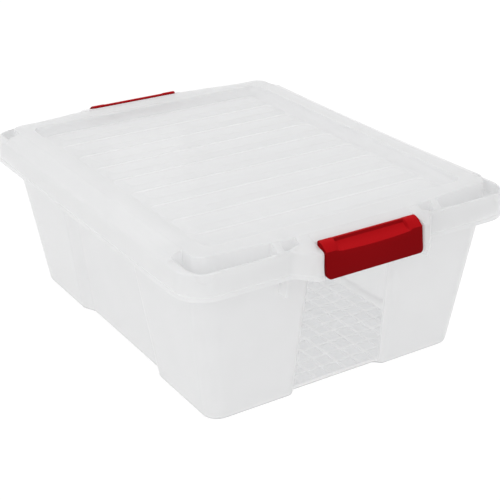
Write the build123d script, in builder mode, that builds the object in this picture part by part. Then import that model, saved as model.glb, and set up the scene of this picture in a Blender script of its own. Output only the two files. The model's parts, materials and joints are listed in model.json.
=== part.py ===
import os

from build123d import *

# Stackable see-through storage bin with a lift-off lid and two end clips.
# Millimetres, +Z up. X runs along the long side, the origin is the middle of the base.

# ---- tub ----
WALL = 2.2
FLOOR = 3.2
FOOT_HALF_LENGTH = 201.8
FOOT_HALF_WIDTH = 154.4
FOOT_RADIUS = 18.0
FOOT_ROUNDING = 4.0
FLARE = 0.138  # how far each wall leans out for every millimetre of height
RADIUS_FLARE = 0.026
RIM_TOP = 172.0
RIM_HALF_LENGTH = 235.5
RIM_HALF_WIDTH = 190.0
RIM_RADIUS = 28.0
RIM_LIP_BOTTOM = 161.0

PANEL_DEPTH = 7.5  # the middle of every wall is pressed in by this much
PANEL_TOP = 158.0
END_PANEL_FOOT = 58.5
END_PANEL_HEAD = 52.5
SIDE_PANEL_FOOT = 95.0
SIDE_PANEL_HEAD = 83.0
END_PANEL_SLANT = 6.0  # how far the slanted flank of the panel runs along the wall
SIDE_PANEL_SLANT = 15.0

GRID_PITCH = 19.0
GRID_CELL = 15.6
GRID_DEPTH = 1.2
GRID_COLUMNS = 20
GRID_ROWS = 14

FIN_Y = 86.0
FIN_THICKNESS = 2.0
FIN_BOTTOM = 134.0

CATCH_HALF_WIDTH = 52.0
CATCH_REACH = 250.0
CATCH_BOTTOM = 162.4
CATCH_RIBS = (-50.0, -17.0, 17.0, 50.0)

# ---- lid ----
SKIN = 2.2
SKIRT_BOTTOM = 156.0
SKIRT_TOP = 183.4
LID_TOP = 192.3
SKIRT_HALF_LENGTH = 240.6
SKIRT_HALF_WIDTH = 195.0
SKIRT_RADIUS = 32.0
SKIRT_DRAFT = 1.6
BEAD_HEIGHT = 5.0
BEAD_STEP = 0.9

BORDER_HALF_LENGTH = 220.6
BORDER_HALF_WIDTH = 175.0
BORDER_RADIUS = 13.0
TRAY_HALF_LENGTH = 203.2  # the foot of the next bin stands inside this tray
TRAY_HALF_WIDTH = 156.0
TRAY_RADIUS = 14.0
TRAY_DRAFT = 0.9
TRAY_FLOOR = 182.6
TRAY_FOOT_RADIUS = 7.0  # hollow rounding between the tray's wall and its floor

PLANK_COUNT = 9
PLANK_PITCH = 43.0
PLANK_HALF_LENGTH = 143.0
PLANK_HALF_WIDTH = 20.8
PLANK_HEIGHT = 2.6
PLANK_SLOPE = 9.0
PLANK_RADIUS = 9.0

CHANNEL_FLOOR = 174.6
CHANNEL_HALF_LENGTH = 235.8
CHANNEL_HALF_WIDTH = 186.0
CHANNEL_RADIUS = 17.0
CHANNEL_X_START = 186.0  # along the long sides the channel runs from here to the corner
CHANNEL_Y_START = 99.0  # along the short sides likewise
POCKET_Y = (74.0, 90.0)

# ---- clip seat on the lid, and the clips ----
BULGE_REACH = 258.5
BULGE_HALF_WIDTH = 64.0
BULGE_FOOT_HALF_WIDTH = 86.0
BORDER_NECK_Y = 66.0
BORDER_FLARE_Y = 155.0  # from here the border's end widens towards the clip
PLATFORM_REACH = 229.0  # the flat top ends here behind the clip, and slopes down to the seat
SEAT_CREST = 187.0
SEAT_HALF_WIDTH = 59.6
CHEEK = 2.6
SEAT_BACK = 239.4
HINGE_X = 247.0
HINGE_Z = 183.8
HINGE_PIN_RADIUS = 1.8
HINGE_CLEARANCE = 0.08
BARREL_RADIUS = 5.0

CLIP_HALF_WIDTH = 57.4
CLIP_SKIN = 2.5
CLIP_CREST = ((241.6, 187.6), (243.0, 189.6), (245.6, 190.3), (248.8, 189.2))
CLIP_SHOULDER = (257.4, 182.8)
CLIP_TOE = (260.6, 155.7)
POCKET_HALF_WIDTH = 42.0
POCKET_BACK = 244.9
POCKET_BACK_Z = 185.6
POCKET_FRONT_Z = 180.6
HOOK_TIP = 250.4
HOOK_Z = (158.6, 161.6)
HOOK_HALF_WIDTH = 49.0
SIDE_RADIUS = 3.0


def tub_block(inset, bottom, top):
    """The flared tub shape, drawn in by inset, between two heights."""
    with BuildPart() as block:
        for height in (bottom, top):
            with BuildSketch(Plane.XY.offset(height)):
                RectangleRounded(
                    2 * (FOOT_HALF_LENGTH + FLARE * height - inset),
                    2 * (FOOT_HALF_WIDTH + FLARE * height - inset),
                    FOOT_RADIUS + RADIUS_FLARE * height - inset,
                )
        loft()
    return block.part


def wall_panel(wall, foot, head, slant, grow):
    """The block that presses one wall's middle panel in; grow thickens it all round."""
    past = 8.0
    with BuildPart() as block:
        for height, half in ((-1.0, foot), (PANEL_TOP + grow, head)):
            face = wall + FLARE * height
            inner = face - PANEL_DEPTH - grow
            run = slant * (PANEL_DEPTH + grow + past) / PANEL_DEPTH
            narrow = half - slant + grow
            with BuildSketch(Plane.XY.offset(height)):
                Polygon(
                    (inner, -narrow),
                    (face + past, -narrow - run),
                    (face + past, narrow + run),
                    (inner, narrow),
                    align=None,
                )
        loft(ruled=True)
    return block.part


def wall_panels(grow):
    """The pressed-in panels of all four walls."""
    end = wall_panel(FOOT_HALF_LENGTH, END_PANEL_FOOT, END_PANEL_HEAD, END_PANEL_SLANT, grow)
    side = wall_panel(FOOT_HALF_WIDTH, SIDE_PANEL_FOOT, SIDE_PANEL_HEAD, SIDE_PANEL_SLANT, grow)
    turns = ((end, 0), (side, 90), (end, 180), (side, 270))
    return [panel.rotate(Axis.Z, turn) for panel, turn in turns]


def end_plate(y, thickness, outline):
    """A flat plate standing across X at the given y, mirrored to both ends."""
    with BuildPart() as plate:
        with BuildSketch(Plane.XZ.offset(-y)):
            Polygon(*outline, align=None)
        extrude(amount=thickness / 2, both=True)
        mirror(about=Plane.YZ)
    return plate.part


def wall_face(height):
    """Middle of the end wall's thickness at a height."""
    return FOOT_HALF_LENGTH + FLARE * height - WALL / 2


def build_tub():
    """Walls, floor with its waffle grid, rim with fins, and a catch at each end."""
    with BuildPart() as cavity:
        add(tub_block(WALL, FLOOR, RIM_TOP + 1))
        for panel in wall_panels(WALL):
            add(panel, mode=Mode.SUBTRACT)

    with BuildPart() as shell:
        add(tub_block(0, 0, RIM_TOP))
        for panel in wall_panels(0):
            add(panel, mode=Mode.SUBTRACT)
        foot_edges = shell.faces().sort_by(Axis.Z)[0].edges()
        fillet(foot_edges, FOOT_ROUNDING)

    rim_drop = RIM_TOP - RIM_LIP_BOTTOM
    with BuildPart() as tub:
        add(shell.part)
        with BuildSketch(Plane.XY.offset(RIM_TOP - WALL)):
            RectangleRounded(2 * RIM_HALF_LENGTH, 2 * RIM_HALF_WIDTH, RIM_RADIUS)
        extrude(amount=WALL)
        with BuildSketch(Plane.XY.offset(RIM_LIP_BOTTOM)):
            RectangleRounded(2 * RIM_HALF_LENGTH, 2 * RIM_HALF_WIDTH, RIM_RADIUS)
            RectangleRounded(
                2 * (RIM_HALF_LENGTH - WALL),
                2 * (RIM_HALF_WIDTH - WALL),
                RIM_RADIUS - WALL,
                mode=Mode.SUBTRACT,
            )
        extrude(amount=rim_drop)

        # the catch: the rim reaches further out between the clip's sides and turns down
        catch_length = 2 * CATCH_REACH
        with BuildSketch(Plane.XY.offset(RIM_TOP - WALL)):
            Rectangle(catch_length, 2 * CATCH_HALF_WIDTH)
        extrude(amount=WALL)
        with BuildSketch(Plane.XY.offset(CATCH_BOTTOM)):
            Rectangle(catch_length, 2 * CATCH_HALF_WIDTH)
            Rectangle(catch_length - 2 * WALL, 2 * CATCH_HALF_WIDTH, mode=Mode.SUBTRACT)
        extrude(amount=RIM_TOP - CATCH_BOTTOM)
        for y in CATCH_RIBS:
            outline = (
                (wall_face(CATCH_BOTTOM), CATCH_BOTTOM),
                (CATCH_REACH - 1, CATCH_BOTTOM),
                (CATCH_REACH - 1, RIM_TOP - 1),
                (wall_face(RIM_TOP), RIM_TOP - 1),
            )
            add(end_plate(y, FIN_THICKNESS, outline))
        for y in (-FIN_Y, FIN_Y):
            outline = (
                (wall_face(FIN_BOTTOM), FIN_BOTTOM + 1.5),
                (RIM_HALF_LENGTH, FIN_BOTTOM),
                (RIM_HALF_LENGTH, RIM_TOP - 1),
                (wall_face(RIM_TOP), RIM_TOP - 1),
            )
            add(end_plate(y, FIN_THICKNESS, outline))

        add(cavity.part, mode=Mode.SUBTRACT)
        with BuildSketch(Plane.XY.offset(FLOOR)):
            with GridLocations(GRID_PITCH, GRID_PITCH, GRID_COLUMNS, GRID_ROWS):
                Rectangle(GRID_CELL, GRID_CELL)
        extrude(amount=-GRID_DEPTH, mode=Mode.SUBTRACT)
    return tub


def lid_outline(height, half_length, half_width, radius, reach, neck, foot):
    """The lid's plan outline at a height: a rounded rectangle with a bulge at each end."""
    with BuildSketch(Plane.XY.offset(height)) as outline:
        with BuildLine():
            Line((reach, 0), (reach, neck))
            Spline((reach, neck), (half_length, foot), tangents=((0, 1), (0, 1)))
            Line((half_length, foot), (half_length, half_width - radius))
            RadiusArc(
                (half_length, half_width - radius), (half_length - radius, half_width), -radius
            )
            Line((half_length - radius, half_width), (0, half_width))
            mirror(about=Plane.YZ)
            mirror(about=Plane.XZ)
        make_face()
    return outline.sketch


def border_outline(height, inset):
    """The outer edge of the lid's flat border, which widens towards each clip."""
    border_sizes = (BORDER_HALF_LENGTH, BORDER_HALF_WIDTH, BORDER_RADIUS)
    return lid_outline(
        height,
        *(size - inset for size in border_sizes),
        PLATFORM_REACH - inset,
        BORDER_NECK_Y,
        BORDER_FLARE_Y,
    )


def lid_block(inset, drop, bottom):
    """The lid's closed outer form, drawn in by inset and lowered by drop."""
    narrow = SKIRT_DRAFT + inset
    skirt_sizes = (SKIRT_HALF_LENGTH, SKIRT_HALF_WIDTH, SKIRT_RADIUS)
    low = lid_outline(
        bottom,
        *(size - BEAD_STEP - inset for size in skirt_sizes),
        BULGE_REACH + 1 - BEAD_STEP - inset,
        BULGE_HALF_WIDTH - inset / 2,
        BULGE_FOOT_HALF_WIDTH - inset / 2,
    )
    middle = lid_outline(
        SKIRT_TOP - drop,
        *(size - narrow for size in skirt_sizes),
        BULGE_REACH - inset,
        BULGE_HALF_WIDTH - inset / 2,
        BULGE_FOOT_HALF_WIDTH - inset / 2,
    )
    top = border_outline(LID_TOP - drop, inset / 2)
    with BuildPart() as skirt:
        loft((low, middle), ruled=True)
    with BuildPart() as shoulder:
        loft((middle, top), ruled=True)
    return skirt.part + shoulder.part


def tray_block(grow):
    """The sunken middle of the lid; grow adds the skin below and around it."""
    with BuildPart() as block:
        with BuildSketch(Plane.XY.offset(TRAY_FLOOR - grow)):
            RectangleRounded(
                2 * (TRAY_HALF_LENGTH - TRAY_DRAFT + grow),
                2 * (TRAY_HALF_WIDTH - TRAY_DRAFT + grow),
                TRAY_RADIUS + grow,
            )
        with BuildSketch(Plane.XY.offset(LID_TOP + 0.01)):
            RectangleRounded(
                2 * (TRAY_HALF_LENGTH + grow), 2 * (TRAY_HALF_WIDTH + grow), TRAY_RADIUS + grow
            )
        loft()
        fillet(block.faces().sort_by(Axis.Z)[0].edges(), TRAY_FOOT_RADIUS + grow)
    return block.part


def planks(drop, inset):
    """The row of flat raised planks on the tray's floor."""
    base = TRAY_FLOOR - drop
    with BuildPart() as row:
        for index in range(PLANK_COUNT):
            x = (index - (PLANK_COUNT - 1) / 2) * PLANK_PITCH
            for height, shrink in ((0, 0), (PLANK_HEIGHT, PLANK_SLOPE)):
                with BuildSketch(Plane((x, 0, base + height))):
                    RectangleRounded(
                        2 * (PLANK_HALF_WIDTH - shrink - inset),
                        2 * (PLANK_HALF_LENGTH - shrink - inset),
                        PLANK_RADIUS - inset,
                    )
            loft()
    return row.part


def channels(grow):
    """The open channels round the lid's corners, and the pocket beside each clip seat."""
    with BuildPart() as block:
        with BuildSketch(Plane.XY.offset(CHANNEL_FLOOR - grow)):
            RectangleRounded(
                2 * (CHANNEL_HALF_LENGTH + grow), 2 * (CHANNEL_HALF_WIDTH + grow), CHANNEL_RADIUS
            )
            add(border_outline(0, grow), mode=Mode.SUBTRACT)
            long_gap = 2 * (CHANNEL_X_START - grow)
            Rectangle(long_gap, 3 * CHANNEL_HALF_WIDTH, mode=Mode.SUBTRACT)
            inner, outer = POCKET_Y
            bridge = CHANNEL_Y_START - outer - 2 * grow
            for side in (-1, 1):
                with Locations((0, side * (CHANNEL_Y_START + outer) / 2)):
                    Rectangle(3 * CHANNEL_HALF_LENGTH, bridge, mode=Mode.SUBTRACT)
            Rectangle(3 * CHANNEL_HALF_LENGTH, 2 * (inner - grow), mode=Mode.SUBTRACT)
        extrude(amount=LID_TOP - CHANNEL_FLOOR + grow + 1)
    return block.part


def seat_block(half_width, inset):
    """The room for a clip at each end, up to its back wall and the slope above that wall."""
    low, high, outside = SKIRT_BOTTOM - 5, LID_TOP + 5, BULGE_REACH + 5
    back, platform = SEAT_BACK - inset, PLATFORM_REACH - inset
    with BuildPart() as block:
        with BuildSketch(Plane.XZ):
            Polygon(
                (back, low),
                (outside, low),
                (outside, high),
                (platform, high),
                (platform, LID_TOP - inset / 2),
                (back, SEAT_CREST - inset / 2),
                align=None,
            )
        extrude(amount=half_width, both=True)
        mirror(about=Plane.YZ)
    return block.part


def build_lid():
    """Skirt, border, sunken tray with planks, corner channels, and two clip seats."""
    with BuildPart() as hollow:
        add(lid_block(SKIN, SKIN, SKIRT_BOTTOM - 1))
        add(tray_block(SKIN), mode=Mode.SUBTRACT)
        add(channels(SKIN), mode=Mode.SUBTRACT)
        add(seat_block(SEAT_HALF_WIDTH + CHEEK, SKIN), mode=Mode.SUBTRACT)
        add(planks(SKIN, SKIN / 2))

    bead = lid_outline(
        SKIRT_BOTTOM,
        SKIRT_HALF_LENGTH,
        SKIRT_HALF_WIDTH,
        SKIRT_RADIUS,
        BULGE_REACH + 1,
        BULGE_HALF_WIDTH,
        BULGE_FOOT_HALF_WIDTH,
    )
    with BuildPart() as lid:
        add(lid_block(0, 0, SKIRT_BOTTOM))
        extrude(bead, BEAD_HEIGHT)
        add(hollow.part, mode=Mode.SUBTRACT)
        add(tray_block(0), mode=Mode.SUBTRACT)
        add(planks(0, 0))
        add(channels(0), mode=Mode.SUBTRACT)
        add(seat_block(SEAT_HALF_WIDTH, 0), mode=Mode.SUBTRACT)
        # the seat's back wall stops above the tub's catch
        with BuildSketch(Plane.XY.offset(SKIRT_BOTTOM - 1)):
            for side in (-1, 1):
                with Locations((side * SEAT_BACK, 0)):
                    Rectangle(12, 2 * (CATCH_HALF_WIDTH + 4))
        extrude(amount=RIM_TOP + 1.5 - SKIRT_BOTTOM + 1, mode=Mode.SUBTRACT)
        # hinge holes through the cheeks
        hole_depth = SEAT_HALF_WIDTH + CHEEK + 0.5
        for side in (-1, 1):
            with BuildSketch(Plane.XZ):
                with Locations((side * HINGE_X, HINGE_Z)):
                    Circle(HINGE_PIN_RADIUS + HINGE_CLEARANCE)
            extrude(amount=hole_depth, both=True, mode=Mode.SUBTRACT)
    return lid


def clip_profile():
    """The clip's side outline: hinge barrel, rounded crest, sloping top, front wall."""
    shoulder_x, shoulder_z = CLIP_SHOULDER
    toe_x, toe_z = CLIP_TOE
    with BuildSketch(Plane.XZ) as profile:
        with Locations((HINGE_X, HINGE_Z)):
            Circle(BARREL_RADIUS)
        Polygon(
            *CLIP_CREST,
            (shoulder_x, shoulder_z),
            (toe_x, toe_z),
            (toe_x - 4.6, toe_z),
            (HINGE_X - BARREL_RADIUS, HINGE_Z),
            align=None,
        )
    return profile.sketch


def clip_hollow_profile():
    """What is scooped out between the clip's sides: everything behind its skin and barrel."""
    shoulder_x, shoulder_z = CLIP_SHOULDER
    toe_x, toe_z = CLIP_TOE
    with BuildSketch(Plane.XZ) as profile:
        Polygon(
            (HINGE_X + 4.0, HINGE_Z + 0.8),
            (shoulder_x - CLIP_SKIN, shoulder_z - CLIP_SKIN),
            (toe_x - CLIP_SKIN, toe_z - 1),
            (HINGE_X - 12, toe_z - 1),
            (HINGE_X - 12, HINGE_Z),
            (HINGE_X, HINGE_Z),
            align=None,
        )
        with Locations((HINGE_X, HINGE_Z)):
            Circle(BARREL_RADIUS, mode=Mode.SUBTRACT)
    return profile.sketch


def clip_wedge(drop, half_width):
    """The finger pocket in the clip's top: open upwards and to the front."""
    with BuildPart() as wedge:
        with BuildSketch(Plane.XZ):
            Polygon(
                (POCKET_BACK - drop, LID_TOP + 5),
                (POCKET_BACK - drop, POCKET_BACK_Z - drop),
                (CLIP_SHOULDER[0] + 5, POCKET_FRONT_Z - drop - 1.5),
                (CLIP_SHOULDER[0] + 5, LID_TOP + 5),
                align=None,
            )
        extrude(amount=half_width, both=True)
    return wedge.part


def build_clip():
    """The +X clip: a hollow handle with a finger pocket, hinge stubs and a snap lip."""
    with BuildPart() as hollow:
        inside = CLIP_HALF_WIDTH - CLIP_SKIN
        extrude(clip_hollow_profile(), inside, dir=(0, 1, 0), both=True)
        add(clip_wedge(CLIP_SKIN, POCKET_HALF_WIDTH + CLIP_SKIN), mode=Mode.SUBTRACT)

    with BuildPart() as clip:
        extrude(clip_profile(), CLIP_HALF_WIDTH, dir=(0, 1, 0), both=True)
        front_wall = clip.faces().filter_by(GeomType.PLANE).sort_by(Axis.X)[-1]
        side_edges = front_wall.edges().filter_by(lambda edge: edge.length < CLIP_HALF_WIDTH)
        fillet(side_edges, SIDE_RADIUS)
        add(clip_wedge(0, POCKET_HALF_WIDTH), mode=Mode.SUBTRACT)
        add(hollow.part, mode=Mode.SUBTRACT)
        hook_low, hook_high = HOOK_Z
        with BuildSketch(Plane.XY.offset(hook_low)):
            with Locations(((HOOK_TIP + CLIP_TOE[0] - 1) / 2, 0)):
                Rectangle(CLIP_TOE[0] - 1 - HOOK_TIP, 2 * HOOK_HALF_WIDTH)
        extrude(amount=hook_high - hook_low)
        for side in (-1, 1):
            stub_start = side * (CLIP_HALF_WIDTH - CLIP_SKIN)
            stub_length = side * (SEAT_HALF_WIDTH + CHEEK - 0.4) - stub_start
            with BuildSketch(Plane((HINGE_X, stub_start, HINGE_Z), z_dir=(0, 1, 0))):
                Circle(HINGE_PIN_RADIUS)
            extrude(amount=stub_length)
    return clip


os.makedirs("parts", exist_ok=True)

tub = build_tub()
tub.part.label = "tub"
export_step(tub.part, "parts/tub.step")

lid = build_lid()
lid.part.label = "lid"
export_step(lid.part, "parts/lid.step")

right_clip = build_clip()
right_clip.part.label = "right_clip"
export_step(right_clip.part, "parts/right_clip.step")

with BuildPart() as left_clip:
    add(right_clip.part.rotate(Axis.Z, 180))
left_clip.part.label = "left_clip"
export_step(left_clip.part, "parts/left_clip.step")

for name, piece in (("tub", tub), ("lid", lid), ("right_clip", right_clip)):
    box = piece.part.bounding_box()
    print(name, "solids", len(piece.part.solids()), "volume", round(piece.part.volume), box.min, box.max)
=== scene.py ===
import json
from math import cos, pi, radians, sin

import bmesh
import bpy
from mathutils import Matrix, Vector


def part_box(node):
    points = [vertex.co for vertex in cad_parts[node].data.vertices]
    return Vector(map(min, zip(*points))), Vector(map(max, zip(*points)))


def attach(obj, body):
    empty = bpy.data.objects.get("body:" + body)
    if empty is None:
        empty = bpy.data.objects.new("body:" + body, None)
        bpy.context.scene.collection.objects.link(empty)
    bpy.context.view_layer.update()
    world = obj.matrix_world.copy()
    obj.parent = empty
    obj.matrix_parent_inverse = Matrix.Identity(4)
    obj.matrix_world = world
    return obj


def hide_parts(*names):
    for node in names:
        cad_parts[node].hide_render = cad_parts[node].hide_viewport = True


# The looks of a see-through stackable bin: a moulded tub and lid, and two red end clips.
# Shapes are in millimetres in the CAD's frame, and make_mesh() turns them into metres. The
# floor, the lights and the camera are in metres.

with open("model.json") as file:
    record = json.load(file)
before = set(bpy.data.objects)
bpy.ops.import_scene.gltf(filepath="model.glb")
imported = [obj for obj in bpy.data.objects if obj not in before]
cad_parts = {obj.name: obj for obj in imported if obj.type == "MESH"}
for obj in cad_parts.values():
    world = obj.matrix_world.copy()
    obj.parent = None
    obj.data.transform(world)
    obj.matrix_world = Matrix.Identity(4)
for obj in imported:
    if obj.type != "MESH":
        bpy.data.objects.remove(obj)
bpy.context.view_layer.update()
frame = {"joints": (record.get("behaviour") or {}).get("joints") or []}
MM = 0.001

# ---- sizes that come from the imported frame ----
_, tub_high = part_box("tub")
lid_low, lid_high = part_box("lid")
RIM_TOP = tub_high.z / MM
SKIRT_BOTTOM = lid_low.z / MM
LID_TOP = lid_high.z / MM
SKIRT_WIDTH = lid_high.y / MM
BULGE = lid_high.x / MM
RIM_WIDTH = tub_high.y / MM
CATCH_REACH = tub_high.x / MM
hinge = next(j for j in frame["joints"] if j["name"] == "right_clip_swing")
HINGE_X, HINGE_Z = hinge["pos_m"][0] / MM, hinge["pos_m"][2] / MM

# ---- tub ----
WALL = 2.2
FLOOR = 3.2
FLARE = 0.138  # lean of the walls, per millimetre of height
FOOT = (201.8, 154.4, 18.0)  # every outline is half length, half width and corner radius
RADIUS_FLARE = 0.026
FOOT_ROUNDING = 4.0
# the foot is darkened up to this height: painted shade where the bin meets the floor
FOOT_SHADE_HEIGHT = 2.6
PANEL_DEPTH = 7.5
PANEL_TOP = 158.0
PANEL_ROWS = (  # height, and the share of the depth that is pressed in there
    (20, 1), (80, 1), (140, 1), (150, 1), (152, 0.92), (154, 0.65), (156, 0.35), (158, 0.08),
    (160, 0),
)
POLISHED_Z = (4, 152)
END_PANEL = (58.5, 52.5, 6.0)  # half width at the foot, at the top, and the flank's run
SIDE_PANEL = (95.0, 83.0, 15.0)
RIM = (235.5, RIM_WIDTH, 28.0)
RIM_LIP = 161.0
RIM_EDGE = 0.6
GRID_PITCH = 19.0
GRID_CELL = 15.6
GRID_DEPTH = 1.2
GRID_COUNT = (20, 14)
RIB_THICKNESS = 2.0
RIB_TOP = 171.0
GUSSETS_Y = (-86.0, 86.0)
GUSSET_FOOT = 134.0
CATCH_RIBS_Y = (-50.0, -17.0, 17.0, 50.0)
CATCH_WIDTH = 104.0
CATCH_FOOT = 162.4
CATCH_SHELF = (169.8, 172.0)  # bottom and top

# ---- lid ----
SKIN = 2.2
SKIRT = (240.6, SKIRT_WIDTH, 32.0)
SKIRT_TOP = 183.4
SKIRT_DRAFT = 1.6
BEAD_HEIGHT = 5.0
BEAD_STEP = 0.9
BORDER = (220.6, 175.0, 13.0)
TRAY = (203.2, 156.0, 14.0)
TRAY_FLOOR = 182.6
TRAY_FOOT = 8.8
STEEPEST = 0.97  # the shoulder's slope ends this far up, and a small step makes the rest
CHANNEL = (236.8, 186.2, 19.0)
CHANNEL_FLOOR = 174.6
CHANNEL_END_X = 191.0
CHANNEL_SKEW = (5.0, 16.0)  # the channel's end leans this much, over this length
CORNER_CREST = 0.4  # the channel's outer crest keeps this share of its height at a corner
CORNER_START_Y = 104
BULGE_Y = (64, 86)  # the skirt bulges fully up to here, and no more from there
BORDER_FLARE_Y = (66, 155.0)  # the same for the border, which widens towards the clip
PLATFORM = 229.0  # the flat top ends here behind each clip, and slopes down to the seat
SEAT_CREST = 187.0
SEAT_BACK = 239.4
SEAT_HALF = 59.6
SEAT_NOTCH = 56  # half width of the part that stays clear above the tub's rim
CHEEK_Y = 60.0
SOFT_EDGE = 1.1
PLANK_PITCH = 43.0
PLANK_COUNT = 9
PLANK = (20.8, 143.0, 9.0)
PLANK_HEIGHT = 2.6
PLANK_FLANK = 9.0

# ---- clips ----
CLIP_HALF = 57.4
CLIP_SKIN = 2.5
CLIP_CORNER = 4.5
CLIP_BEVEL = 0.4
CLIP_FOOT = 155.7
CLIP_FACE = (260.6, 257.4, 27.1)  # x at the foot, x at the top, and the height between
CLIP_END_BACK = (255.6, 249.6, 27.0)
POCKET_HALF = 42.0
POCKET_SAG = (3.4, 1.6)  # of the pocket's middle, and how much less at its ends
POCKET_FADE = 4.0
HOOK_HALF = 49.0
HOOK_LIP = 250.4
BARREL = 5.0
STUB = (1.8, 8.0, 57.3)  # radius, length, and the middle's distance from the clip's middle

# ---- how finely curves are divided ----
ARC_STEPS = 10
FOOT_STEPS = 5
BEND_STEPS = 3
PLANK_CORNER_STEPS = 6


# ======== mesh helpers ========


def make_mesh(name, points, faces, material):
    """A mesh object from points in millimetres, smooth shaded except across sharp edges."""
    mesh = bpy.data.meshes.new(name)
    mesh.from_pydata([tuple(MM * c for c in p) for p in points], [], faces)
    piece = bpy.data.objects.new(name, mesh)
    bpy.context.scene.collection.objects.link(piece)
    mesh.materials.append(material)
    clean(piece)
    return piece


def clean(piece, sharp=35):
    """Merges doubles, points the faces outwards and marks the sharp edges."""
    bm = bmesh.new()
    bm.from_mesh(piece.data)
    bmesh.ops.remove_doubles(bm, verts=bm.verts, dist=1e-6)
    bmesh.ops.recalc_face_normals(bm, faces=bm.faces)
    for face in bm.faces:
        face.smooth = True
    for edge in bm.edges:
        edge.smooth = len(edge.link_faces) == 2 and edge.calc_face_angle() < radians(sharp)
    bm.to_mesh(piece.data)
    bm.free()


def bake_modifiers(piece):
    """Puts what the modifiers make into the piece's own mesh."""
    shown = piece.evaluated_get(bpy.context.evaluated_depsgraph_get())
    mesh = bpy.data.meshes.new_from_object(shown)
    piece.modifiers.clear()
    piece.data = mesh


def boolean(piece, tool, operation, materials="INDEX"):
    """Cuts or joins tool into piece, and removes the tool."""
    modifier = piece.modifiers.new("cut", "BOOLEAN")
    modifier.object = tool
    modifier.operation = operation
    modifier.solver = "EXACT"
    modifier.material_mode = materials
    bake_modifiers(piece)
    bpy.data.objects.remove(tool)


def ramp(t, soft):
    """0 below t = 0 and 1 above t = 1, straight between, with both bends rounded by soft."""
    def rise(x):
        if x <= -soft:
            return 0.0
        return x if x >= soft else (x + soft) ** 2 / (4 * soft)
    return rise(t) - rise(t - 1)


def mix(a, b, t):
    """a where t is 0 and b where it is 1."""
    return a + (b - a) * t


def full_ring(quadrant):
    """The whole outline from its quarter, which runs from the +X axis to the +Y axis."""
    second = [(-x, y, z) for x, y, z in reversed(quadrant[:-1])]
    half = quadrant + second
    return half + [(-x, -y, z) for x, y, z in half[1:-1]]


def bridge(first, second, count):
    """Quads between two rings of count points that start at these indices."""
    return [
        (first + i, first + (i + 1) % count, second + (i + 1) % count, second + i)
        for i in range(count)
    ]


def loft(rings, base=0):
    """Quads between neighbours in a row of equal rings, whose first point has index base."""
    count = len(rings[0])
    starts = range(base, base + count * (len(rings) - 1), count)
    return [face for start in starts for face in bridge(start, start + count, count)]


def closed_loft(name, rings, material):
    """A piece from a row of equal rings, with the first and the last one filled."""
    points = [point for ring in rings for point in ring]
    count, total = len(rings[0]), len(points)
    ends = [tuple(reversed(range(count))), tuple(range(total - count, total))]
    return make_mesh(name, points, loft(rings) + ends, material)


def rounded_column(points, radii):
    """A column of points with its bends replaced by short curves."""
    column = [points[0]]
    for before, here, after, radius in zip(points, points[1:], points[2:], radii[1:]):
        if radius == 0:
            column.append(here)
            continue
        before, here, after = Vector(before), Vector(here), Vector(after)
        back, forth = before - here, after - here
        start = here + back * min(0.45, radius / max(back.length, 1e-6))
        end = here + forth * min(0.45, radius / max(forth.length, 1e-6))
        for step in range(BEND_STEPS + 1):
            t = step / BEND_STEPS
            column.append(tuple(start * (1 - t) ** 2 + here * 2 * t * (1 - t) + end * t * t))
    column.append(points[-1])
    return column


def quarter_arc(size, inset, angle):
    """A point on the rounded corner of an outline drawn in by inset."""
    half_x, half_y, radius = size
    radius = max(radius - inset, 0.5)
    return (
        half_x - inset - radius + radius * cos(angle),
        half_y - inset - radius + radius * sin(angle),
    )


# ======== tub ========


def tub_size(height):
    """The tub's outline at a height."""
    return (
        FOOT[0] + FLARE * height,
        FOOT[1] + FLARE * height,
        FOOT[2] + RADIUS_FLARE * height,
    )


def panel_stations(panel, height, corner):
    """Places along half a wall: the pressed-in panel, its rounded flank and the plain wall."""
    foot, head, slant = panel
    edge = mix(foot, head, min(height, PANEL_TOP) / PANEL_TOP)
    inner = edge - slant
    bend = min(3.0, slant / 2)
    middle = [inner * share for share in (0, 0.3, 0.6)] + [inner - 2.2 * bend]
    flank = [inner + bend * s for s in (-1, -0.5, 0, 0.5, 1)]
    flank += [edge + bend * s for s in (-0.95, -0.5, 0, 0.5, 1)]
    start = edge + 2.2 * bend
    plain = [mix(start, corner, share) for share in (0, 0.35, 0.7, 1)]
    return [(u, edge, slant, bend) for u in middle + flank + plain]


def panel_depth(u, edge, slant, bend, fade):
    """How deep the panel is pressed in at a station."""
    return fade * PANEL_DEPTH * ramp((edge - u) / slant, bend / slant)


def wall_quadrant(size, panels_at, height, inset, fade):
    """A quarter of an outline, drawn in by inset, with the panels pressed in by fade."""
    half_x, half_y, radius = size
    points = []
    for station in panel_stations(END_PANEL, panels_at, half_y - radius):
        points.append((half_x - inset - panel_depth(*station, fade), station[0], height))
    for step in range(1, ARC_STEPS):
        points.append((*quarter_arc(size, inset, step / ARC_STEPS * pi / 2), height))
    for station in reversed(panel_stations(SIDE_PANEL, panels_at, half_x - radius)):
        points.append((station[0], half_y - inset - panel_depth(*station, fade), height))
    return points


def tub_quadrant(height, inset, fade=1.0):
    """A quarter of the tub's outline at a height."""
    return wall_quadrant(tub_size(height), height, height, inset, fade)


def rim_quadrant(inset, height):
    """A quarter of the rim's outline, with the same columns as the tub's."""
    return wall_quadrant(RIM, RIM_TOP, height, inset, 0)


def foot_curve(radius, floor, inset):
    """Rings up the rounded foot: (height, inset) from the floor to the wall."""
    rings = []
    for step in range(FOOT_STEPS + 1):
        angle = step / FOOT_STEPS * pi / 2
        rings.append((floor + radius * (1 - cos(angle)), inset + radius * (1 - sin(angle))))
    return rings


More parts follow.
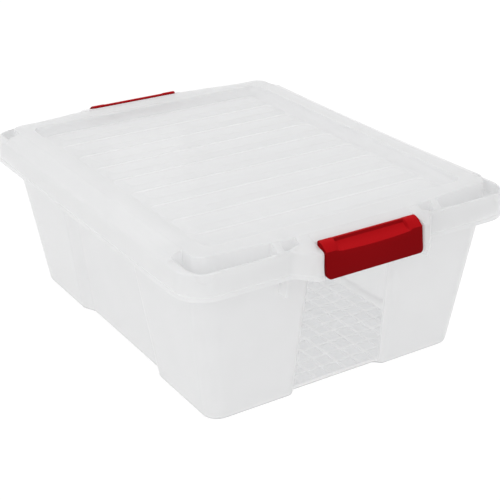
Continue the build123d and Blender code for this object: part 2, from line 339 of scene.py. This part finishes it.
def polish_end_panels(tub, material):
    """Gives the flat middle of each end wall's pressed-in panel the clear material."""
    tub.data.materials.append(material)
    foot, head, slant = END_PANEL
    wall_x = FOOT[0] - PANEL_DEPTH - WALL - 1
    for face in tub.data.polygons:
        x, y, z = face.center / MM
        inside = abs(y) < mix(foot, head, z / PANEL_TOP) - slant / 2
        if inside and abs(x) > wall_x and POLISHED_Z[0] < z < POLISHED_Z[1]:
            face.material_index = 1


def shade_foot(tub, material):
    """Gives the rounded edge that the bin slides on a darker, duller material: painted shade where
    the foot meets the floor.
    """
    tub.data.materials.append(material)
    last = len(tub.data.materials) - 1
    for face in tub.data.polygons:
        if face.center.z < FOOT_SHADE_HEIGHT * MM and face.normal.z > -0.99:
            face.material_index = last


def tub_rings():
    """The tub's outlines: up the outside, over the rim's lip and down the inside."""
    under_rim, edge = RIM_TOP - WALL, RIM_EDGE
    quadrants = [tub_quadrant(z, inset) for z, inset in foot_curve(FOOT_ROUNDING, 0, 0)]
    quadrants += [tub_quadrant(z, 0, fade) for z, fade in PANEL_ROWS]
    quadrants += [
        tub_quadrant(under_rim, 0, 0), rim_quadrant(WALL, under_rim),
        rim_quadrant(WALL, RIM_LIP + edge), rim_quadrant(WALL - edge, RIM_LIP),
        rim_quadrant(edge, RIM_LIP), rim_quadrant(0, RIM_LIP + edge),
        rim_quadrant(0, RIM_TOP - edge), rim_quadrant(edge, RIM_TOP),
        tub_quadrant(RIM_TOP, WALL - edge, 0), tub_quadrant(RIM_TOP - edge, WALL, 0),
    ]
    quadrants += [tub_quadrant(z, WALL, fade) for z, fade in reversed(PANEL_ROWS)]
    inner_foot = foot_curve(FOOT_ROUNDING - 1, FLOOR, WALL)
    quadrants += [tub_quadrant(z, inset) for z, inset in reversed(inner_foot)]
    return [full_ring(quadrant) for quadrant in quadrants]


def build_tub(material, window, cell_shade, foot_shade):
    """The tub, with its polished end panels, painted shade on its foot and in the floor grid's
    pockets, ribs and catches.
    """
    tub = closed_loft("tub_shell", tub_rings(), material)
    polish_end_panels(tub, window)
    shade_foot(tub, foot_shade)
    # the pockets' cut faces take the darker cell material: painted shade in the recesses
    boolean(tub, waffle_cutter(cell_shade), "DIFFERENCE", "TRANSFER")
    for tool in rim_ribs(material):
        boolean(tub, tool, "UNION")
    clean(tub)
    return tub


def boxes_mesh(name, boxes, material):
    """One mesh of separate boxes, each (low corner, high corner)."""
    points, faces = [], []
    for low, high in boxes:
        base = len(points)
        points += [(x, y, z) for z in (low[2], high[2]) for y in (low[1], high[1])
                   for x in (low[0], high[0])]
        sides = ((0, 2, 3, 1), (4, 5, 7, 6), (0, 1, 5, 4), (2, 6, 7, 3), (0, 4, 6, 2), (1, 3, 7, 5))
        faces += [tuple(base + i for i in side) for side in sides]
    return make_mesh(name, points, faces, material)


def waffle_cutter(material):
    """The square pockets between the floor's grid lines."""
    half = GRID_CELL / 2
    columns, rows = GRID_COUNT
    bottom, top = FLOOR - GRID_DEPTH, FLOOR + 1
    boxes = []
    for i in range(columns):
        for j in range(rows):
            x, y = (i - (columns - 1) / 2) * GRID_PITCH, (j - (rows - 1) / 2) * GRID_PITCH
            boxes.append(((x - half, y - half, bottom), (x + half, y + half, top)))
    return boxes_mesh("waffle", boxes, material)


def plate(name, outline, y, thickness, material):
    """A flat plate across Y with this (x, z) outline."""
    count = len(outline)
    points = [(x, y + side * thickness / 2, z) for side in (-1, 1) for x, z in outline]
    faces = [tuple(range(count)), tuple(reversed(range(count, 2 * count)))]
    faces += bridge(0, count, count)
    return make_mesh(name, points, faces, material)


def wall_middle(z):
    """Where the end wall's middle is at a height, away from its panel."""
    return FOOT[0] + FLARE * z - WALL / 2


def rim_ribs(material):
    """Gussets under the rim, and at each end the catch that a clip snaps under."""
    gusset_x, inner_x, rib_x = RIM[0] - 0.4, CATCH_REACH - WALL, CATCH_REACH - 1
    shelf, shelf_top = CATCH_SHELF
    root, rib_foot = wall_middle(170), CATCH_FOOT + 0.4
    gusset = [(wall_middle(GUSSET_FOOT), GUSSET_FOOT + 1.5), (gusset_x, GUSSET_FOOT),
              (gusset_x, RIB_TOP), (wall_middle(RIB_TOP), RIB_TOP)]
    catch = [(root, shelf), (inner_x, shelf), (inner_x, CATCH_FOOT), (CATCH_REACH, CATCH_FOOT),
             (CATCH_REACH, shelf_top), (root, shelf_top)]
    rib = [(wall_middle(CATCH_FOOT), rib_foot), (rib_x, rib_foot), (rib_x, RIB_TOP),
           (wall_middle(RIB_TOP), RIB_TOP)]
    plates = [(gusset, y, RIB_THICKNESS) for y in GUSSETS_Y] + [(catch, 0, CATCH_WIDTH)]
    plates += [(rib, y, RIB_THICKNESS) for y in CATCH_RIBS_Y]
    return [plate("rib", [(end * x, z) for x, z in outline], y, thickness, material)
            for end in (-1, 1) for outline, y, thickness in plates]


# ======== lid ========


def s_curve(t):
    """0 up to t = 0 and 1 from t = 1, with a smooth rise between."""
    t = max(0.0, min(1.0, t))
    return t * t * (3 - 2 * t)


def lid_columns():
    """Stations along a quarter of the lid: kind, place, and whether the shoulder is hollow."""
    seat = [("seat", y, 0) for y in (0, 14, 28, 40, 50, 55.8, 56.2, 58.6, SEAT_HALF)]
    cheek = [("end", y, 0) for y in (CHEEK_Y, 60.7, 62.0, 63.2, 64.4, 66, 68, 70, 72, 73.6)]
    pocket = [("end", y, 1) for y in (74.6, 76, 78, 80.5, 83, 86, 89.2)]
    span = [("end", y, 0) for y in (90.4, 92, 94, 96, 98.4)]
    channel = [("end", y, 1) for y in (99.8, 102, CORNER_START_Y)]
    channel += [("near_corner", share, 1) for share in (0.3, 0.6, 0.85, 1)]
    corner = [("corner", step / ARC_STEPS * pi / 2, 1) for step in range(1, ARC_STEPS)]
    along = [("side", x, 1) for x in (208.6, 203, 198, 194, 192)]
    plain = [("side", x, 0) for x in (190.2, 187, 181, 170, 150, 120, 90, 60, 30, 0)]
    return seat + cheek + pocket + span + channel + corner + along + plain


def outline_point(size, inset, column):
    """A plan point of a rounded outline, drawn in by inset, at one column."""
    kind, place, _ = column
    half_x, half_y, radius = size
    radius = max(radius - inset, 0.5)
    corner_x, corner_y = half_x - inset - radius, half_y - inset - radius
    if kind in ("seat", "end"):
        return half_x - inset, place
    if kind == "near_corner":
        return half_x - inset, mix(CORNER_START_Y, corner_y, place)
    if kind == "corner":
        return quarter_arc(size, inset, place)
    return place * corner_x / (SKIRT[0] - SKIRT[2]), half_y - inset


def bulged(size, inset, column, reach, span):
    """A plan point of an outline that bulges out to reach, fully before span and not past it."""
    x, y = outline_point(size, inset, column)
    if column[0] in ("end", "near_corner"):
        x = mix(x, reach, s_curve((span[1] - y) / (span[1] - span[0])))
    return x, y


def border_edge(inset, column):
    """A plan point of the border's outer edge, which widens towards the clip."""
    return bulged(BORDER, inset, column, PLATFORM - inset, BORDER_FLARE_Y)


def slope_height(x, top, edge):
    """Height of the shoulder's straight slope at x, between the skirt's top and the border."""
    share = (top[0] - x) / (top[0] - edge[0])
    return mix(SKIRT_TOP, LID_TOP, min(max(share, 0), STEEPEST))


def seat_column(y):
    """The seat's back wall and the slope above it, as the same levels as elsewhere."""
    foot = RIM_TOP + 1.5 if y < SEAT_NOTCH else SKIRT_BOTTOM
    column = [(SEAT_BACK, y, mix(foot, SEAT_CREST, share)) for share in (0, 0.3, 0.65, 1)]
    for x in (CHANNEL[0], CHANNEL[0] - 0.5, PLATFORM + 0.6):
        share = (SEAT_BACK - x) / (SEAT_BACK - PLATFORM)
        column.append((x, y, mix(SEAT_CREST, LID_TOP, share)))
    return column + [(PLATFORM, y, LID_TOP)]


def slope_column(column):
    """Skirt with its bead, shoulder slope or channel, and the border's outer edge."""
    kind, place, is_open = column
    reach = BULGE - (0.8 if place == CHEEK_Y else 0)
    low = bulged(SKIRT, 0, column, reach, BULGE_Y)
    bead = bulged(SKIRT, 0.1, column, reach, BULGE_Y)
    step = bulged(SKIRT, BEAD_STEP, column, reach - BEAD_STEP, BULGE_Y)
    top = bulged(SKIRT, SKIRT_DRAFT, column, reach - 1, BULGE_Y)
    edge = border_edge(0, column)
    lean, length = CHANNEL_SKEW
    skew = lean * max(0, 1 - abs(place - CHANNEL_END_X) / length) if kind == "side" else 0
    levels = [outline_point(CHANNEL, 0, column), outline_point(CHANNEL, 0.5, column),
              border_edge(-0.6, column)]
    if kind == "end":
        heights = [slope_height(x, top, edge) for x, _ in levels]
    else:
        run = (Vector(top) - Vector(edge)).length
        shares = [(Vector(top) - Vector(level)).length / run for level in levels]
        heights = [mix(SKIRT_TOP, LID_TOP, min(share, STEEPEST)) for share in shares]
    if is_open:
        heights[1:] = [CHANNEL_FLOOR, CHANNEL_FLOOR]
        if kind != "end":
            heights[0] = mix(SKIRT_TOP, heights[0], CORNER_CREST)
    shifts = (-skew, -skew, skew)
    levels = [(x + dx, y, z) for (x, y), z, dx in zip(levels, heights, shifts)]
    bead_top = SKIRT_BOTTOM + BEAD_HEIGHT
    skirt = [(*low, SKIRT_BOTTOM), (*bead, bead_top - 0.4), (*step, bead_top), (*top, SKIRT_TOP)]
    return skirt + levels + [(edge[0] + skew, edge[1], LID_TOP)]


def lid_rings():
    """The lid's outer skin from the skirt's foot to the tray's floor, as quarter outlines."""
    columns = []
    foot_rings = foot_curve(TRAY_FOOT, TRAY_FLOOR, 0)[::-1]
    for column in lid_columns():
        seated = column[0] == "seat"
        outside = seat_column(column[1]) if seated else slope_column(column)
        crest = 0.8 if seated else 2.6
        radii = (0, 0.5, 0.5, crest, 0.7, 1.3, 1.3, SOFT_EDGE, SOFT_EDGE, 0)
        rim = (*outline_point(TRAY, 0, column), LID_TOP)
        foot = [(*outline_point(TRAY, 0.9 * min(1, step / 2) + inset, column), height)
                for step, (height, inset) in enumerate(foot_rings)]
        columns.append(rounded_column(outside + [rim, foot[0]], radii) + foot[1:])
    return [list(ring) for ring in zip(*columns)]


def plank_rings(x):
    """One plank's rings, from its rounded foot up to its flat top."""
    half_x, half_y, radius = PLANK
    profile = ((-0.5, 0), (0, 0), (PLANK_FLANK, PLANK_HEIGHT), (PLANK_FLANK + 2, PLANK_HEIGHT))
    columns = []
    for side_x, side_y, start in ((1, 1, 0), (-1, 1, 1), (-1, -1, 2), (1, -1, 3)):
        for step in range(PLANK_CORNER_STEPS + 1):
            angle = (start + step / PLANK_CORNER_STEPS) * pi / 2
            column = [(
                x + side_x * (half_x - radius - inset) + radius * cos(angle),
                side_y * (half_y - radius - inset) + radius * sin(angle),
                TRAY_FLOOR + rise,
            ) for inset, rise in profile]
            columns.append(rounded_column(column, (0, 1.2, 1.6, 0)))
    return [list(ring) for ring in zip(*columns)]


def build_lid(material):
    """The lid, as an outer skin that is thickened inwards."""
    rings = [full_ring(quadrant) for quadrant in lid_rings()]
    points, faces = [point for ring in rings for point in ring], loft(rings)
    for plank in range(PLANK_COUNT):
        rings = plank_rings((plank - (PLANK_COUNT - 1) / 2) * PLANK_PITCH)
        faces += loft(rings, len(points))
        points += [point for ring in rings for point in ring]
        faces.append(tuple(range(len(points) - len(rings[0]), len(points))))
    lid = make_mesh("lid_skin", points, faces, material)
    fill_tray_floor(lid)
    skin = lid.modifiers.new("skin", "SOLIDIFY")
    skin.thickness = SKIN * MM
    skin.offset = -1
    skin.use_even_offset = True
    outside = len(lid.data.vertices)
    bake_modifiers(lid)
    even_skin(lid, outside)
    clean(lid)
    return lid


def even_skin(lid, outside):
    """Pulls back the inner points that the sharpest bends threw too far."""
    points = lid.data.vertices
    for outer, inner in zip(points[:outside], points[outside:2 * outside]):
        gap = inner.co - outer.co
        if gap.length > 2.2 * SKIN * MM:
            inner.co = outer.co + gap * (SKIN * MM / gap.length)


def fill_tray_floor(lid):
    """Closes the floor between the tray's foot and the planks."""
    bm = bmesh.new()
    bm.from_mesh(lid.data)
    floor = TRAY_FLOOR * MM
    rims = [e for e in bm.edges if e.is_boundary and abs(e.verts[0].co.z - floor) < 1e-6]
    bmesh.ops.triangle_fill(bm, edges=rims, use_beauty=True, normal=(0, 0, 1))
    bmesh.ops.recalc_face_normals(bm, faces=bm.faces)
    top = max(bm.faces, key=lambda face: face.calc_area())
    if top.normal.z < 0:
        bmesh.ops.reverse_faces(bm, faces=bm.faces)
    bm.to_mesh(lid.data)
    bm.free()


# ======== clips ========


def leaning(line, z):
    """X at a height on a straight line that leans in from the clip's foot."""
    foot, head, rise = line
    return mix(foot, head, (z - CLIP_FOOT) / rise)


def clip_inside(toe, sag, hollow, hooked):
    """The inner side of the clip's cross-section, from its toe up: nine points (x, z)."""
    if not hollow:
        heights = (toe, toe + 1, toe + 2, toe + 3, toe + 5, 176, 179, 181, 182.4)
        return [(leaning(CLIP_END_BACK, z), z) for z in heights]
    foot, lip_start, lip_end, top = (
        (leaning(CLIP_FACE, z) - CLIP_SKIN, z) for z in (toe, 158.6, 162.4, 176)
    )
    lip = HOOK_LIP if hooked else leaning(CLIP_FACE, 160) - CLIP_SKIN
    return [foot, lip_start, (lip, 158.8), (lip, 160.8), lip_end, top,
            (255.0, 180.4 - sag), (251.4, 182.6 - sag / 1.6), (249.4, 183.2 - sag / 3)]


def clip_loop(y, inset):
    """The clip's cross-section at one place along it, as a closed loop of (x, z)."""
    across = abs(y)
    in_pocket = across < POCKET_HALF
    toe = SKIRT_BOTTOM - 0.3
    past = across - (CLIP_HALF - CLIP_CORNER)
    if past > 0:
        toe += CLIP_CORNER - max(CLIP_CORNER ** 2 - past ** 2, 0) ** 0.5
    deepest, rise = POCKET_SAG
    if in_pocket:
        sag = deepest - rise * (y / POCKET_HALF) ** 2
    else:
        sag = max(0, (deepest - rise) * (POCKET_HALF + POCKET_FADE - across) / POCKET_FADE)
    barrel = [(HINGE_X + BARREL * cos(a), HINGE_Z + BARREL * sin(a)) for a in
              (radians(d) for d in (-80, -110, -140, -165, -190))]
    back = barrel + [(241.8, 188.4)]
    if in_pocket:
        crest = [(242.8, 189.8), (245.5, 189.8)]
        top = [(246.2, 186.6), (249.8, 184.8 - sag / 3), (253.6, 183.2 - sag / 2)]
    else:
        crest = [(242.8, 190.0), (245.2, 190.2)]
        top = [(248.6, 189.2), (251.2, 187.6), (254.2, 185.3 - sag / 2)]
    front = [(CLIP_FACE[1], 182.9 - sag)] + [(leaning(CLIP_FACE, z), z) for z in (175, 166, toe)]
    inside = clip_inside(toe, sag, across < CLIP_HALF - CLIP_SKIN, across < HOOK_HALF)
    loop = back + crest + top + front + inside
    return inset_loop(loop, inset) if inset else loop


def inset_loop(loop, inset):
    """The loop drawn in by inset along its corners' normals."""
    made = []
    count = len(loop)
    for i, (x, z) in enumerate(loop):
        before, after = Vector(loop[i - 1]), Vector(loop[(i + 1) % count])
        along = (after - before).normalized()
        made.append((x + along.y * inset, z - along.x * inset))
    return made


def build_clip(name, material):
    """The +X clip, as cross-sections along Y, each with how far it is drawn in."""
    hollow_half = CLIP_HALF - CLIP_SKIN
    stations = [(CLIP_HALF, 0.4), (CLIP_HALF - 0.2, 0.1)]
    stations += [(y, 0) for y in (
        CLIP_HALF - 0.5, CLIP_HALF - 1.6, hollow_half - 0.05, hollow_half - 0.5,
        CLIP_HALF - 3.6, CLIP_HALF - CLIP_CORNER, HOOK_HALF + 0.2, HOOK_HALF - 0.2,
        POCKET_HALF + POCKET_FADE, POCKET_HALF + 0.5, POCKET_HALF - 0.9, 38, 30, 20, 10,
    )]
    stations += [(0, 0)] + [(-y, inset) for y, inset in reversed(stations)]
    rings = [[(x, y, z) for x, z in clip_loop(y, inset)] for y, inset in stations]
    clip = closed_loft(name, rings, material)
    soften = clip.modifiers.new("soften", "BEVEL")
    soften.width = CLIP_BEVEL * MM
    soften.segments = 3
    soften.limit_method = "ANGLE"
    soften.angle_limit = radians(32)
    bake_modifiers(clip)
    for side in (-1, 1):
        boolean(clip, hinge_stub(side, material), "UNION")
    clean(clip, 40)
    return clip


def hinge_stub(side, material):
    """The round stub that a clip turns on in the lid's cheek."""
    radius, length, offset = (size * MM for size in STUB)
    bm = bmesh.new()
    bmesh.ops.create_cone(bm, cap_ends=True, segments=32, radius1=radius, radius2=radius,
                          depth=length)
    bmesh.ops.rotate(bm, verts=bm.verts, matrix=Matrix.Rotation(pi / 2, 3, "X"))
    place = (HINGE_X * MM, side * offset, HINGE_Z * MM)
    bmesh.ops.translate(bm, verts=bm.verts, vec=place)
    mesh = bpy.data.meshes.new("stub")
    bm.to_mesh(mesh)
    bm.free()
    mesh.materials.append(material)
    stub = bpy.data.objects.new("stub", mesh)
    bpy.context.scene.collection.objects.link(stub)
    return stub


# ======== materials ========

CLOUD_SCALE = 9.0
CLOUD_CHANGE = 0.08  # how much more or less of the light a cloud lets through
PALER = 0.985
GRAIN_SCALE = 1400.0
GRAIN_DEPTH = 0.0002
FACE_ON_MIRROR = 0.04  # share of the light that plastic mirrors when it is seen face on


class Nodes:
    """A material's node tree with short calls for the nodes used here."""

    def __init__(self, name):
        self.material = bpy.data.materials.new(name)
        self.material.use_nodes = True
        self.tree = self.material.node_tree
        self.tree.nodes.clear()

    def add(self, kind, **sockets):
        node = self.tree.nodes.new(kind)
        for key, value in sockets.items():
            socket = node.inputs[key.replace("_", " ")]
            if isinstance(value, bpy.types.NodeSocket):
                self.tree.links.new(value, socket)
            else:
                socket.default_value = value
        return node

    def mixed(self, share, first, second):
        """first where share is 0, second where it is 1."""
        node = self.tree.nodes.new("ShaderNodeMixShader")
        if isinstance(share, bpy.types.NodeSocket):
            self.tree.links.new(share, node.inputs[0])
        else:
            node.inputs[0].default_value = share
        self.tree.links.new(first.outputs[0], node.inputs[1])
        self.tree.links.new(second.outputs[0], node.inputs[2])
        return node

    def blend(self, share, first, second):
        """A colour between two, by a socket's share."""
        node = self.tree.nodes.new("ShaderNodeMix")
        node.data_type = "RGBA"
        self.tree.links.new(share, node.inputs[0])
        node.inputs[6].default_value = (*first, 1)
        node.inputs[7].default_value = (*second, 1)
        return node.outputs[2]

    def noise(self, place, scale, detail):
        """A noise texture's grey value."""
        node = self.add("ShaderNodeTexNoise", Vector=place, Scale=scale, Detail=detail)
        return node.outputs["Fac"]

    def ranged(self, value, low, high):
        """A noise socket spread over low to high."""
        return self.add("ShaderNodeMapRange", Value=value, From_Min=0.3, From_Max=0.7,
                        To_Min=low, To_Max=high).outputs[0]

    def mirror_share(self, normal):
        """Schlick's share of light that a plastic face mirrors, the same from both its sides."""
        facing = self.add("ShaderNodeLayerWeight", Blend=0.5, Normal=normal).outputs["Facing"]
        power = self.tree.nodes.new("ShaderNodeMath")
        power.operation = "POWER"
        power.inputs[1].default_value = 5
        self.tree.links.new(facing, power.inputs[0])
        spread = self.add("ShaderNodeMapRange", Value=power.outputs[0], To_Min=FACE_ON_MIRROR,
                          To_Max=1.0)
        return spread.outputs[0]

    def output(self, shader):
        """The finished material, with shader as its surface."""
        out = self.tree.nodes.new("ShaderNodeOutputMaterial")
        self.tree.links.new(shader.outputs[0], out.inputs[0])
        return self.material


def see_through_plastic(name, colour, see, roughness, grain):
    """Moulded polypropylene: see is how much passes straight through each face.

    The rest of the light is scattered forwards and back. A fine moulded grain and slow
    clouds in the plastic vary both.
    """
    n = Nodes(name)
    place = n.add("ShaderNodeTexCoord").outputs["Object"]
    clouds = n.noise(place, CLOUD_SCALE, 2.0)
    texture = n.noise(place, GRAIN_SCALE, 1.0)
    relief = n.add("ShaderNodeBump", Strength=grain, Distance=GRAIN_DEPTH, Height=texture)
    normal = relief.outputs["Normal"]
    tint = n.blend(clouds, tuple(c * PALER for c in colour), colour)
    body = n.add("ShaderNodeBsdfDiffuse", Color=tint, Normal=normal)
    back = n.add("ShaderNodeBsdfTranslucent", Color=tint, Normal=normal)
    milky = n.mixed(0.5, body, back)
    clear = n.add("ShaderNodeBsdfTransparent")
    passing = n.ranged(clouds, see * (1 - CLOUD_CHANGE), see * (1 + CLOUD_CHANGE))
    wall = n.mixed(passing, milky, clear)
    gloss = n.add("ShaderNodeBsdfGlossy", Color=(1, 1, 1, 1), Roughness=roughness, Normal=normal)
    return n.output(n.mixed(n.mirror_share(normal), wall, gloss))


def red_plastic(name):
    """Solid red plastic with faint flow marks and a fine grain."""
    n = Nodes(name)
    place = n.add("ShaderNodeTexCoord").outputs["Object"]
    flow = n.noise(place, 22.0, 3.0)
    texture = n.noise(place, 2200.0, 1.0)
    relief = n.add("ShaderNodeBump", Strength=0.18, Distance=GRAIN_DEPTH, Height=texture)
    tint = n.blend(flow, (0.2, 0.0015, 0.003), (0.215, 0.0025, 0.004))
    rough = n.ranged(flow, 0.42, 0.5)
    body = n.add("ShaderNodeBsdfPrincipled", Base_Color=tint, Roughness=rough,
                 Specular_IOR_Level=0.02, Normal=relief.outputs["Normal"])
    return n.output(body)


frosted = see_through_plastic("frosted_plastic", (0.95, 0.951, 0.953), 0.35, 0.32, 0.2)
polished = see_through_plastic("polished_plastic", (0.93, 0.932, 0.936), 0.8, 0.08, 0.03)
# a darker, slightly bluer copy of the frosted plastic for the floor grid's pockets: painted shade
# in the recesses
cell_shade = see_through_plastic("painted_cell_shade", (0.82, 0.826, 0.842), 0.35, 0.35, 0.25)
# a darker copy of the frosted plastic for the foot: painted shade where the bin meets the floor
foot_shade = see_through_plastic("painted_foot_shade", (0.6, 0.605, 0.612), 0.2, 0.6, 0.5)
red = red_plastic("red_plastic")

# ======== pieces ========

tub = build_tub(frosted, polished, cell_shade, foot_shade)
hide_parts("tub")
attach(tub, "tub")

lid = build_lid(frosted)
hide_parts("lid")
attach(lid, "lid")

clips = []
for side, turn in (("right", 0), ("left", pi)):
    clip = build_clip(f"{side}_handle", red)
    clip.data.transform(Matrix.Rotation(turn, 4, "Z"))
    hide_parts(f"{side}_clip")
    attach(clip, f"{side}_clip")
    clips.append(clip)

# ======== floor, light and camera ========

FLOOR_LIGHT = (0.86, 1.06)  # what the floor sends up to the bin, and what the camera sees
FLOOR_MATT = 0.12  # the share that is lit by the lamps and takes shadows
FLOOR_SIZE = 40
FLOOR_DROP = -0.0004
BRIGHT_SIDE = (-0.2, -0.5, 0.5)  # the studio's soft light comes mostly from here
SKY = (0.76, 1.02)  # its strength on the far side and on the bright side
LAMP_AIM = (0.16, 0.1, -1)
LAMP_ANGLE = 25
CAMERA_PLACE = Vector((1.0885, -0.6535, 0.6559))
CAMERA_YAW, CAMERA_PITCH, CAMERA_ROLL = radians(32.53), radians(24.82), radians(-0.48)
CAMERA_LENS = 87.3
CAMERA_SHIFT = (-0.033, 0.0058)


def build_stage():
    """A plain pale floor."""
    n = Nodes("pale_floor")
    seen = n.add("ShaderNodeLightPath").outputs["Is Camera Ray"]
    strength = n.add("ShaderNodeMapRange", Value=seen, To_Min=FLOOR_LIGHT[0],
                     To_Max=FLOOR_LIGHT[1])
    glow = n.add("ShaderNodeEmission", Color=(1, 1, 1, 1), Strength=strength.outputs[0])
    matt = n.add("ShaderNodeBsdfDiffuse", Color=(1, 1, 1, 1))
    bpy.ops.mesh.primitive_plane_add(size=FLOOR_SIZE, location=(0, 0, FLOOR_DROP))
    floor = bpy.context.object
    floor.name = "floor"
    floor.data.materials.append(n.output(n.mixed(FLOOR_MATT, glow, matt)))


def build_light():
    """Soft light from all round, stronger on one side, behind a plain white background."""
    world = bpy.data.worlds.new("studio")
    bpy.context.scene.world = world
    world.use_nodes = True
    nodes, links = world.node_tree.nodes, world.node_tree.links
    seen = nodes["Background"]
    seen.inputs["Color"].default_value = (1, 1, 1, 1)
    seen.inputs["Strength"].default_value = 1.0
    lights = nodes.new("ShaderNodeBackground")
    lights.inputs["Color"].default_value = (0.997, 0.998, 1, 1)
    place = nodes.new("ShaderNodeTexCoord")
    towards = nodes.new("ShaderNodeVectorMath")
    towards.operation = "DOT_PRODUCT"
    towards.inputs[1].default_value = Vector(BRIGHT_SIDE).normalized()
    strength = nodes.new("ShaderNodeMapRange")
    strength.inputs["From Min"].default_value = -1
    strength.inputs["To Min"].default_value, strength.inputs["To Max"].default_value = SKY
    links.new(place.outputs["Generated"], towards.inputs[0])
    links.new(towards.outputs["Value"], strength.inputs["Value"])
    links.new(strength.outputs[0], lights.inputs["Strength"])
    path = nodes.new("ShaderNodeLightPath")
    pick = nodes.new("ShaderNodeMixShader")
    links.new(path.outputs["Is Camera Ray"], pick.inputs[0])
    links.new(lights.outputs[0], pick.inputs[1])
    links.new(seen.outputs[0], pick.inputs[2])
    links.new(pick.outputs[0], nodes["World Output"].inputs[0])


def area_light(name, place, target, size, power):
    """A rectangular lamp at place, turned towards target."""
    data = bpy.data.lights.new(name, "AREA")
    data.shape = "RECTANGLE"
    data.size, data.size_y = size
    data.energy = power
    light = bpy.data.objects.new(name, data)
    light.location = place
    light.rotation_euler = (Vector(target) - Vector(place)).to_track_quat("-Z", "Y").to_euler()
    bpy.context.scene.collection.objects.link(light)


def overhead_lamp(clips, power):
    """A soft lamp straight above, which lights only the clips."""
    data = bpy.data.lights.new("overhead", "SUN")
    data.energy = power
    data.angle = radians(LAMP_ANGLE)
    lamp = bpy.data.objects.new("overhead", data)
    lamp.rotation_euler = Vector(LAMP_AIM).to_track_quat("-Z", "Y").to_euler()
    bpy.context.scene.collection.objects.link(lamp)
    lit = bpy.data.collections.new("lit_by_overhead")
    for clip in clips:
        lit.objects.link(clip)
    lamp.light_linking.receiver_collection = lit


def build_camera():
    """The camera at the photograph's viewing angle."""
    data = bpy.data.cameras.new("camera")
    data.lens = CAMERA_LENS
    data.shift_x, data.shift_y = CAMERA_SHIFT
    camera = bpy.data.objects.new("camera", data)
    bpy.context.scene.collection.objects.link(camera)
    level = cos(CAMERA_PITCH)
    look = Vector((-cos(CAMERA_YAW) * level, sin(CAMERA_YAW) * level, -sin(CAMERA_PITCH)))
    turn = look.to_track_quat("-Z", "Y").to_matrix() @ Matrix.Rotation(CAMERA_ROLL, 3, "Z")
    camera.matrix_world = Matrix.Translation(CAMERA_PLACE) @ turn.to_4x4()
    bpy.context.scene.camera = camera


build_stage()
build_light()
area_light("window", (1.4, -1.5, 0.9), (0, 0, 0.1), (1.0, 1.2), 5)
overhead_lamp(clips, 4.4)
build_camera()
bpy.context.scene.view_settings.view_transform = "Standard"
cycles = bpy.context.scene.cycles
cycles.max_bounces, cycles.diffuse_bounces = 20, 16  # light passes many thin scattering walls
cycles.transparent_max_bounces = 32
